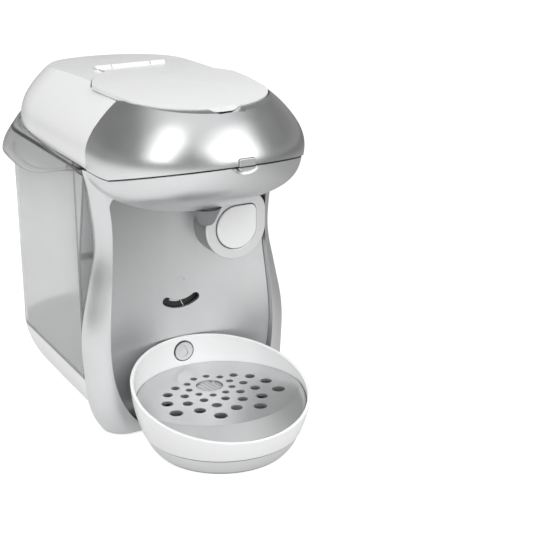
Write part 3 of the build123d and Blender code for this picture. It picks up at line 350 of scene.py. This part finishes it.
# ---------------------------------------------------------------------------- finishes
@dataclass(frozen=True)
class Finish:
    """A moulded or painted surface and how light meets it."""

    slot: Slot
    colour: tuple[float, float, float]
    roughness: float
    metallic: float = 0.0
    shade_range: float = 0.04       # lighter and darker by this share
    roughness_range: float = 0.06
    grain_scale: float = 2600.0
    grain_depth: float = 0.02 * MILLIMETRE
    edge_radius: float = 0.35 * MILLIMETRE
    edge_samples: int = 4
    coat: float = 0.0
    coat_roughness: float = 0.08
    specular: float = 0.5
    flake_scale: float = 0.0        # nought for a surface with no flake
    flake_strength: float = 0.0
    transmission: float = 0.0
    ior: float = 1.5
    anisotropy: float = 0.0
    gap_shade_reach: float = 0.0          # how near a neighbour has to be for a painted shade in a gap
    gap_shade_tone: float = 0.3           # what the painted shade leaves of the colour deep in a gap
    gap_shade_openness: Band = (0.1, 0.62)        # from deep in a gap to clear of it
    gap_shade_samples: int = 8
    seam_heights: Band | None = None        # a joint's dark line, and a neighbour's painted shade, lie between these Z
    seam_depths: Band | None = None         # and a painted shade between these Y
    seam_tone: float = 0.12         # what is left of the colour there
    line_and_shade_fade: float = 0.25 * MILLIMETRE    # half the width over which the shade fades

    def _tone(self, factor: float) -> tuple[float, float, float, float]:
        """The finish's colour, made lighter or darker."""
        return (*(min(1.0, part * factor) for part in self.colour), 1.0)

    def _seam(self, desk: NodeDesk) -> bpy.types.NodeSocket | None:
        """Mask the places of a joint's dark line and of a neighbour's painted shade.

        Args:
            desk: The material's nodes.

        Returns:
            One in the shade and nought outside it, or None where no joint is near.
        """
        fade = self.line_and_shade_fade
        whole = None
        for axis, band in (("Z", self.seam_heights), ("Y", self.seam_depths)):
            if band is None:
                continue
            place = desk.coordinate(axis)
            after = desk.spread(place, 0.0, 1.0, band[0] - fade, band[0] + fade)
            before = desk.spread(place, 1.0, 0.0, band[1] - fade, band[1] + fade)
            inside = desk.math("MINIMUM", after, before)
            whole = inside if whole is None else desk.math("MAXIMUM", whole, inside)
        return whole

    def _texture(
        self, desk: NodeDesk, effects: SurfaceEffects
    ) -> tuple[bpy.types.NodeSocket, bpy.types.NodeSocket]:
        """Place the grain, and the flake in it where the finish has one.

        Args:
            desk: The material's nodes.
            effects: The shared node groups.

        Returns:
            The unevenness of the shade and the height of the surface.
        """
        grain = desk.add("ShaderNodeGroup", node_tree=effects.grain)
        grain.inputs["Scale"].default_value = self.grain_scale
        shade = grain.outputs["Unevenness"]
        height = grain.outputs["Height"]
        if self.flake_scale:
            flake = desk.add("ShaderNodeGroup", node_tree=effects.flake)
            flake.inputs["Scale"].default_value = self.flake_scale
            sparkle = desk.math("MULTIPLY", flake.outputs["Sparkle"], self.flake_strength)
            plain = desk.math("MULTIPLY", shade, 1 - self.flake_strength)
            shade = desk.math("ADD", plain, sparkle)
            tilt = desk.math("MULTIPLY", flake.outputs["Height"], self.flake_strength)
            height = desk.math("ADD", height, tilt)
        return shade, height

    def _colouring(self, desk: NodeDesk, shade: bpy.types.NodeSocket) -> bpy.types.NodeSocket:
        """Colour the surface, with a painted shade in its gaps and along its joints, and a dark
        line on a joint.

        Args:
            desk: The material's nodes.
            shade: The unevenness of the shade.

        Returns:
            The colour.
        """
        colour = desk.blend(
            shade, self._tone(1 - self.shade_range), self._tone(1 + self.shade_range)
        )
        # painted shade in the gaps, from how closely neighbours crowd the point
        if self.gap_shade_reach:
            occlusion_shade = desk.add("ShaderNodeAmbientOcclusion", samples=self.gap_shade_samples)
            occlusion_shade.inputs["Distance"].default_value = self.gap_shade_reach
            clear = desk.spread(occlusion_shade.outputs["AO"], self.gap_shade_tone, 1.0, *self.gap_shade_openness)
            colour = desk.blend(1.0, colour, clear, "MULTIPLY")
        # painted shade along a neighbour's joint, and a dark line on a joint
        seam = self._seam(desk)
        if seam is not None:
            colour = desk.blend(seam, colour, self._tone(self.seam_tone))
        return colour

    def _relief(self, desk: NodeDesk, height: bpy.types.NodeSocket) -> bpy.types.NodeSocket:
        """Round the edges off and lay the grain over them.

        Args:
            desk: The material's nodes.
            height: The height of the surface.

        Returns:
            The normal.
        """
        bump = desk.add("ShaderNodeBump")
        bump.inputs["Distance"].default_value = self.grain_depth
        desk.join(height, bump.inputs["Height"])
        if self.edge_radius:
            rounded = desk.add("ShaderNodeBevel", samples=self.edge_samples)
            rounded.inputs["Radius"].default_value = self.edge_radius
            desk.join(rounded.outputs["Normal"], bump.inputs["Normal"])
        return bump.outputs["Normal"]

    def make(self, effects: SurfaceEffects) -> bpy.types.Material:
        """Build the material.

        Args:
            effects: The shared node groups.

        Returns:
            The material, named after its slot.
        """
        material = bpy.data.materials.new(self.slot.value)
        material.use_nodes = True
        desk = NodeDesk(material.node_tree)
        shader = material.node_tree.nodes["Principled BSDF"]
        settings = {
            "Metallic": self.metallic, "Coat Weight": self.coat,
            "Coat Roughness": self.coat_roughness, "Specular IOR Level": self.specular,
            "Transmission Weight": self.transmission, "IOR": self.ior,
            "Anisotropic": self.anisotropy,
        }
        for socket, value in settings.items():
            shader.inputs[socket].default_value = value
        shade, height = self._texture(desk, effects)
        desk.join(self._colouring(desk, shade), shader.inputs["Base Color"])
        handling = desk.add("ShaderNodeGroup", node_tree=effects.handling)
        rough = desk.spread(
            handling.outputs["Smudge"], self.roughness, self.roughness + self.roughness_range
        )
        desk.join(rough, shader.inputs["Roughness"])
        desk.join(self._relief(desk, height), shader.inputs["Normal"])
        return material


# the whites and silvers carry a painted shade in their gaps
FINISHES: tuple[Finish, ...] = (
    Finish(Slot.WHITE_SHELL, (0.87, 0.873, 0.877), 0.2, shade_range=0.015, coat=0.15,
           grain_depth=0.006 * MILLIMETRE, gap_shade_reach=2.5 * MILLIMETRE),
    Finish(Slot.SILVER_COVER, (0.74, 0.745, 0.75), 0.3, metallic=1.0, shade_range=0.05,
           flake_scale=3600.0, flake_strength=0.3, grain_depth=0.0004 * MILLIMETRE,
           edge_radius=0.0, gap_shade_reach=2.5 * MILLIMETRE),
    Finish(Slot.SILVER_BODY, (0.68, 0.685, 0.69), 0.28, metallic=0.86, shade_range=0.05,
           flake_scale=3200.0, flake_strength=0.3, grain_depth=0.003 * MILLIMETRE,
           gap_shade_reach=3.0 * MILLIMETRE),
    Finish(Slot.PLATE_SILVER, (0.66, 0.665, 0.67), 0.3, metallic=0.8, shade_range=0.06,
           flake_scale=3000.0, flake_strength=0.3, grain_depth=0.004 * MILLIMETRE,
           gap_shade_reach=2.0 * MILLIMETRE),
    Finish(Slot.CLEAR_TANK, (0.96, 0.965, 0.97), 0.08, shade_range=0.02, roughness_range=0.06,
           transmission=0.8, ior=1.45, grain_depth=0.004 * MILLIMETRE, edge_radius=0.0),
    Finish(Slot.DARK_GREY, (0.25, 0.255, 0.26), 0.42, grain_depth=0.012 * MILLIMETRE),
    Finish(Slot.INNER_GREY, (0.74, 0.745, 0.75), 0.5, grain_depth=0.015 * MILLIMETRE),
    Finish(Slot.BLACK_PLASTIC, (0.014, 0.014, 0.016), 0.4, shade_range=0.2),
    Finish(Slot.MARK_WHITE, (0.86, 0.86, 0.85), 0.45, edge_radius=0.0),
    Finish(Slot.SOFT_RUBBER, (0.045, 0.045, 0.05), 0.75, shade_range=0.15, specular=0.3,
           grain_scale=1500.0, grain_depth=0.03 * MILLIMETRE),
    Finish(Slot.HOSE_RUBBER, (0.55, 0.56, 0.57), 0.4, transmission=0.25, edge_radius=0.0),
    Finish(Slot.STEEL, (0.56, 0.57, 0.58), 0.28, metallic=1.0, anisotropy=0.4, shade_range=0.06,
           grain_scale=4200.0, grain_depth=0.006 * MILLIMETRE),
)


# ---------------------------------------------------------------------------- sub-assemblies
@dataclass
class SubAssembly:
    """A group of CAD nodes that are dressed together."""

    frame: dict
    effects: SurfaceEffects
    materials: dict[Slot, bpy.types.Material]
    nodes: dict[str, Slot] = field(init=False, default_factory=dict)

    def dress(self) -> None:
        """Give each node its finish."""
        for name, slot in self.nodes.items():
            piece = self.frame["nodes"][name]
            piece.data.materials.clear()
            piece.data.materials.append(self.materials[slot])
            log.info("dressed %s in %s", name, slot.value)

    def vary(self, name: str, **changes: object) -> None:
        """Give a node its own variant of its finish, such as one with a joint's shade on it.

        Args:
            name: The node.
            **changes: The finish's fields that differ.
        """
        plain = next(finish for finish in FINISHES if finish.slot is self.nodes[name])
        material = replace(plain, **changes).make(self.effects)
        material.name = f"{plain.slot.value}_{name}"
        self.frame["nodes"][name].data.materials[0] = material

    def build(self) -> None:
        """Make the pieces and shades that only the looks need."""


@dataclass
class Column(SubAssembly):
    """The frame, its hollow front panel and the housing behind them."""

    def __post_init__(self) -> None:
        """List the column's nodes."""
        self.nodes = {
            "front_frame": Slot.SILVER_BODY, "front_panel": Slot.SILVER_BODY,
            "column_housing": Slot.INNER_GREY, "tray_lug": Slot.SILVER_BODY,
        }


@dataclass
class Controls(SubAssembly):
    """The start button with its pump, and the indicator."""

    button_travel: float = 4.0 * MILLIMETRE
    bezel_face: float = 1.3 * MILLIMETRE    # depth of the bezel's face; behind it the side gets a painted shade

    def __post_init__(self) -> None:
        """List the controls' nodes."""
        self.nodes = {
            "button_bezel": Slot.SILVER_BODY, "start_button": Slot.WHITE_SHELL,
            "button_stem": Slot.INNER_GREY, "pump_piston": Slot.DARK_GREY,
            "pump_cylinder": Slot.INNER_GREY, "pump_spring": Slot.STEEL,
            "indicator": Slot.BLACK_PLASTIC, "indicator_mark": Slot.MARK_WHITE,
            "inlet_hose": Slot.HOSE_RUBBER, "outlet_hose": Slot.HOSE_RUBBER,
        }

    def build(self) -> None:
        """Brighten the bezel, with a painted shade on its side, and put a copy of the pump's
        spring in its place, riding on the machine.
        """
        front, back = (corner[1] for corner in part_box("button_bezel"))
        # painted shade on the bezel's side, behind its face
        self.vary("button_bezel", colour=(0.82, 0.825, 0.83), metallic=0.45, seam_tone=0.3,
                  seam_depths=(front + self.bezel_face, back))
        coil = self.frame["nodes"]["pump_spring"]
        spring = bpy.data.objects.new("return_spring", coil.data.copy())
        bpy.context.scene.collection.objects.link(spring)
        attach(spring, Body.MACHINE.value)
        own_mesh(spring)
        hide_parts("pump_spring")
        log.info("made %s", spring.name)


@dataclass
class Head(SubAssembly):
    """The covers, the lid, the nose and what is inside the head."""

    line_place: float = 0.31                # share of the catch's height below the parting line
    line_half: float = 0.4 * MILLIMETRE     # half the parting line's width
    edge_shade: Band = (0.1690, 0.1702)     # heights of the rear cover's lower edge, which gets a painted shade

    def __post_init__(self) -> None:
        """List the head's nodes."""
        self.nodes = {
            "head_cover": Slot.SILVER_COVER, "head_catch": Slot.SILVER_COVER,
            "rear_cover": Slot.WHITE_SHELL, "lid": Slot.WHITE_SHELL,
            "head_deck": Slot.INNER_GREY, "hinge_pin": Slot.STEEL,
            "capsule_holder": Slot.INNER_GREY, "nose_shell": Slot.SILVER_BODY,
            "spout": Slot.DARK_GREY,
        }

    def build(self) -> None:
        """Paint a shade on the rear cover's lower edge, and carry the parting line across the
        catch.
        """
        low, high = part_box("head_catch")
        line = low[2] + self.line_place * (high[2] - low[2])
        self.vary("head_catch", roughness=0.36,
                  seam_heights=(line - self.line_half, line + self.line_half))
        # painted shade where the rear cover's edge meets the tank
        self.vary("rear_cover", seam_heights=self.edge_shade)


@dataclass
class BaseAndTank(SubAssembly):
    """The base, its feet and screws, and the water tank on it."""

    cover_shade: Band = (0.1681, 0.1703)    # heights where a painted shade stands for the rear cover's shadow on the tank
    frame_shade: Band = (-0.0218, -0.0206)  # depths where a painted shade stands for the front frame's shadow

    def __post_init__(self) -> None:
        """List the nodes of the base and the tank."""
        self.nodes = {
            "base_shell": Slot.WHITE_SHELL, "bottom_plate": Slot.INNER_GREY,
            "base_screws": Slot.STEEL, "rubber_feet": Slot.SOFT_RUBBER,
            "tank_seat": Slot.SOFT_RUBBER, "water_tank": Slot.CLEAR_TANK,
            "tank_valve": Slot.DARK_GREY,
        }

    def build(self) -> None:
        """Paint a shade on the tank under the rear cover and beside the frame."""
        # painted shade: dark lines under the rear cover and beside the frame
        self.vary("water_tank", seam_heights=self.cover_shade, seam_depths=self.frame_shade)


@dataclass
class Strainer:
    """A ring with bars across it, under the plate's centre hole."""

    centre: Vector                  # on the ring's top face
    hole_radius: float = 8.4 * MILLIMETRE
    rim_width: float = 2.4 * MILLIMETRE
    rim_reveal: float = 0.6 * MILLIMETRE    # how much of the ring shows inside the hole
    rim_height: float = 0.9 * MILLIMETRE
    bar_width: float = 1.15 * MILLIMETRE
    bar_rise: float = 0.7 * MILLIMETRE      # how far the bars stand up into the hole
    bars: int = 9
    sides: int = 64
    edge_radius: float = 0.15 * MILLIMETRE
    edge_steps: int = 2

    def _rim(self, form: bmesh.types.BMesh) -> None:
        """Turn the ring's square section round the hole's axis.

        Args:
            form: The mesh in the making.
        """
        inner = self.hole_radius - self.rim_reveal
        outer = inner + self.rim_width
        section = (
            (inner, 0.0), (outer, 0.0), (outer, -self.rim_height), (inner, -self.rim_height),
        )
        rings = []
        for side in range(self.sides):
            turn = 2 * math.pi * side / self.sides
            rings.append([
                form.verts.new(self.centre + Vector((r * math.cos(turn), r * math.sin(turn), z)))
                for r, z in section
            ])
        for one, two in zip(rings, rings[1:] + rings[:1]):
            for place in range(len(section)):
                after = (place + 1) % len(section)
                form.faces.new((one[place], two[place], two[after], one[after]))

    def _bar(self, form: bmesh.types.BMesh, offset: float) -> None:
        """Lay one bar along X, its ends in the ring.

        Args:
            form: The mesh in the making.
            offset: Where it crosses the Y axis.
        """
        half = math.sqrt(self.hole_radius ** 2 - offset ** 2)
        size = Vector((2 * half, self.bar_width, self.rim_height + self.bar_rise))
        middle = self.centre + Vector((0.0, offset, 0.5 * (self.bar_rise - self.rim_height)))
        place = Matrix.Translation(middle) @ Matrix.Diagonal((*size, 1.0))
        bmesh.ops.create_cube(form, size=1.0, matrix=place)

    def make(self) -> bpy.types.Object:
        """Build the strainer.

        Returns:
            The strainer's object.
        """
        form = bmesh.new()
        self._rim(form)
        pitch = 2 * self.hole_radius / self.bars
        for number in range(self.bars):
            self._bar(form, (number - 0.5 * (self.bars - 1)) * pitch)
        bmesh.ops.recalc_face_normals(form, faces=form.faces)
        mesh = bpy.data.meshes.new("plate_strainer")
        form.to_mesh(mesh)
        form.free()
        piece = bpy.data.objects.new("plate_strainer", mesh)
        bpy.context.scene.collection.objects.link(piece)
        edges = piece.modifiers.new("soft_edges", "BEVEL")
        edges.width = self.edge_radius
        edges.segments = self.edge_steps
        return piece


@dataclass
class DripTray(SubAssembly):
    """The ring, the bowl and the perforated plate with its strainer."""

    spout_y: float = -69.05 * MILLIMETRE
    plate_bottom: float = 29.1 * MILLIMETRE
    ring_shade: Band = (0.0111, 0.0123)     # heights where a painted shade stands for the ring's shadow on the bowl

    def __post_init__(self) -> None:
        """List the tray's nodes."""
        self.nodes = {
            "drip_tray_ring": Slot.WHITE_SHELL, "drip_tray_bowl": Slot.SILVER_BODY,
            "drip_plate": Slot.PLATE_SILVER,
        }

    def build(self) -> None:
        """Paint a shade on the bowl under the ring and fit the strainer under the plate."""
        # painted shade under the ring
        self.vary("drip_tray_bowl", seam_heights=self.ring_shade)
        strainer = Strainer(Vector((0.0, self.spout_y, self.plate_bottom))).make()
        strainer.data.materials.append(self.materials[Slot.PLATE_SILVER])
        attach(strainer, Body.PLATE.value)
        log.info("made %s", strainer.name)


# ---------------------------------------------------------------------------- studio
@dataclass(frozen=True)
class SoftBox:
    """A rectangular studio light that faces the machine."""

    name: str
    azimuth: float                  # degrees round the machine, 0 in front, 90 on its right
    elevation: float
    distance: float
    width: float
    height: float
    power: float

    def make(self, target: Vector) -> None:
        """Place the light.

        Args:
            target: The point that it faces.
        """
        data = bpy.data.lights.new(self.name, "AREA")
        data.shape = "RECTANGLE"
        data.size = self.width
        data.size_y = self.height
        data.energy = self.power
        around = math.radians(self.azimuth)
        up = math.radians(self.elevation)
        away = Vector((
            math.sin(around) * math.cos(up), -math.cos(around) * math.cos(up), math.sin(up)
        ))
        light = bpy.data.objects.new(self.name, data)
        light.location = target + away * self.distance
        light.rotation_euler = (-away).to_track_quat("-Z", "Y").to_euler()
        bpy.context.scene.collection.objects.link(light)


@dataclass
class Studio:
    """The floor, the lights, the surroundings and the camera."""

    floor_radius: float = 9.0
    floor_sides: int = 96
    floor_height: float = -0.2 * MILLIMETRE
    floor_colour: tuple[float, float, float] = (0.58, 0.58, 0.58)
    floor_specular: float = 0.1
    floor_roughness: Band = (0.75, 0.85)
    floor_patches: Band = (0.985, 1.0)      # darkest and lightest shade of its noise
    floor_right_painted_shade: float = 0.6  # painted shade: what is left of its colour on the machine's right
    floor_far_painted_shade: float = 0.5    # and far from the machine, also a painted shade
    floor_glow: float = 0.74        # what keeps the floor white in soft shadow
    floor_far_glow: float = 0.95    # the same far from the machine
    floor_painted_reflection_glow: float = 0.4  # painted light that keeps the floor white in reflections, near the machine's left
    near_reach: Band = (0.45, 1.1)  # distances over which near turns into far
    left_reach: Band = (-0.1, 0.3)  # X over which left turns into right
    # what glossy surfaces mirror: sines of the elevation with their greys
    room_tones: tuple[tuple[float, float], ...] = (
        (0.0, 0.36), (0.16, 0.26), (0.34, 0.2), (0.74, 0.22), (0.93, 0.85),
    )
    room_fill: float = 0.86         # the even light that everything else gets
    camera_place: tuple[float, float, float] = (-0.3126, -0.6950, 0.3540)
    camera_azimuth: float = 29.4    # towards +X from straight along +Y
    camera_pitch: float = 19.38     # below the horizon
    camera_clip: float = 0.01
    lens: float = 84.4              # millimetres
    sensor_width: float = 36.0      # millimetres
    light_target: tuple[float, float, float] = (0.0, -0.07, 0.18)
    boxes: tuple[SoftBox, ...] = (
        SoftBox("left_box", azimuth=-64.0, elevation=36.0, distance=1.4,
                width=0.6, height=1.35, power=5.6),
        SoftBox("front_box", azimuth=19.0, elevation=31.0, distance=1.4,
                width=1.3, height=1.25, power=10.0),
    )

    def _nearness(self, desk: NodeDesk) -> bpy.types.NodeSocket:
        """Measure how near to the machine the shaded point is.

        Args:
            desk: The floor's nodes.

        Returns:
            One near the machine, nought from about a metre away.
        """
        place = desk.add("ShaderNodeTexCoord")
        reach = desk.add("ShaderNodeVectorMath", operation="LENGTH")
        desk.join(place.outputs["Object"], reach.inputs[0])
        return desk.spread(reach.outputs["Value"], 1.0, 0.0, *self.near_reach)

    def _leftness(self, desk: NodeDesk) -> bpy.types.NodeSocket:
        """One on the machine's left, nought on its right, where the floor has a painted shade."""
        return desk.spread(desk.coordinate("X"), 1.0, 0.0, *self.left_reach)

    def make_floor(self) -> None:
        """Lay a round, pale floor under the machine, with a painted shade on its right and far
        off, and a painted glow in its reflections near its left.
        """
        bpy.ops.mesh.primitive_circle_add(
            vertices=self.floor_sides, radius=self.floor_radius, fill_type="NGON",
            location=(0, 0, self.floor_height),
        )
        floor = bpy.context.object
        floor.name = "floor"
        material = bpy.data.materials.new("pale_floor")
        material.use_nodes = True
        desk = NodeDesk(material.node_tree)
        shader = material.node_tree.nodes["Principled BSDF"]
        shader.inputs["Specular IOR Level"].default_value = self.floor_specular
        # painted shade: the floor is darker on the machine's right and far from it
        painted_side_shade = desk.spread(self._leftness(desk), self.floor_right_painted_shade, 1.0)
        painted_distance_shade = desk.spread(self._nearness(desk), self.floor_far_painted_shade, 1.0)
        patches = desk.spread(desk.noise(scale=3.0), *self.floor_patches)
        tone = desk.math("MULTIPLY", desk.math("MULTIPLY", painted_side_shade, painted_distance_shade), patches)
        shade = desk.blend(1.0, (*self.floor_colour, 1.0), tone, "MULTIPLY")
        desk.join(shade, shader.inputs["Base Color"])
        rough = desk.spread(desk.noise(scale=20.0), *self.floor_roughness)
        desk.join(rough, shader.inputs["Roughness"])
        path = desk.add("ShaderNodeLightPath")
        shader.inputs["Emission Color"].default_value = WHITE
        white = desk.spread(self._nearness(desk), self.floor_far_glow, self.floor_glow)
        seen = desk.math("MULTIPLY", path.outputs["Is Camera Ray"], white)
        # painted light: the floor glows in glossy reflections near the machine's left
        mirrored = desk.math("MULTIPLY", path.outputs["Is Glossy Ray"], self.floor_painted_reflection_glow)
        near = desk.math("MULTIPLY", mirrored, self._nearness(desk))
        left = desk.math("MULTIPLY", near, self._leftness(desk))
        desk.join(desk.math("ADD", seen, left), shader.inputs["Emission Strength"])
        floor.data.materials.append(material)

    def make_world(self) -> None:
        """Surround the machine with a grey room that is a white one to the eye."""
        world = bpy.data.worlds.new("studio_room")
        world.use_nodes = True
        desk = NodeDesk(world.node_tree)
        background = world.node_tree.nodes["Background"]
        mirrored = desk.ramp(desk.coordinate("Z", "Generated"), self.room_tones)
        path = desk.add("ShaderNodeLightPath")
        even = (self.room_fill, self.room_fill, self.room_fill, 1.0)
        room = desk.blend(path.outputs["Is Glossy Ray"], even, mirrored)
        seen = desk.blend(path.outputs["Is Camera Ray"], room, WHITE)
        desk.join(seen, background.inputs["Color"])
        bpy.context.scene.world = world

    def make_camera(self) -> None:
        """Set the camera at the front left, a little above the machine."""
        data = bpy.data.cameras.new("camera")
        data.lens = self.lens
        data.sensor_width = self.sensor_width
        data.clip_start = self.camera_clip
        camera = bpy.data.objects.new("camera", data)
        around = math.radians(self.camera_azimuth)
        down = math.radians(self.camera_pitch)
        look = Vector((
            math.sin(around) * math.cos(down), math.cos(around) * math.cos(down), -math.sin(down)
        ))
        camera.location = self.camera_place
        camera.rotation_euler = look.to_track_quat("-Z", "Y").to_euler()
        bpy.context.scene.collection.objects.link(camera)
        bpy.context.scene.camera = camera

    def build(self) -> None:
        """Make the whole studio."""
        bpy.context.scene.view_settings.view_transform = "Standard"
        self.make_floor()
        self.make_world()
        for box in self.boxes:
            box.make(Vector(self.light_target))
        self.make_camera()
        log.info("built the studio")


def main() -> None:
    """Load the machine, dress it and build the studio."""
    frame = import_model()
    effects = SurfaceEffects()
    materials = {finish.slot: finish.make(effects) for finish in FINISHES}
    for kind in (Column, Controls, Head, BaseAndTank, DripTray):
        part = kind(frame, effects, materials)
        part.dress()
        part.build()
    Studio().build()


if __name__ == "__main__":
    logging.basicConfig(level=logging.INFO)
    main()
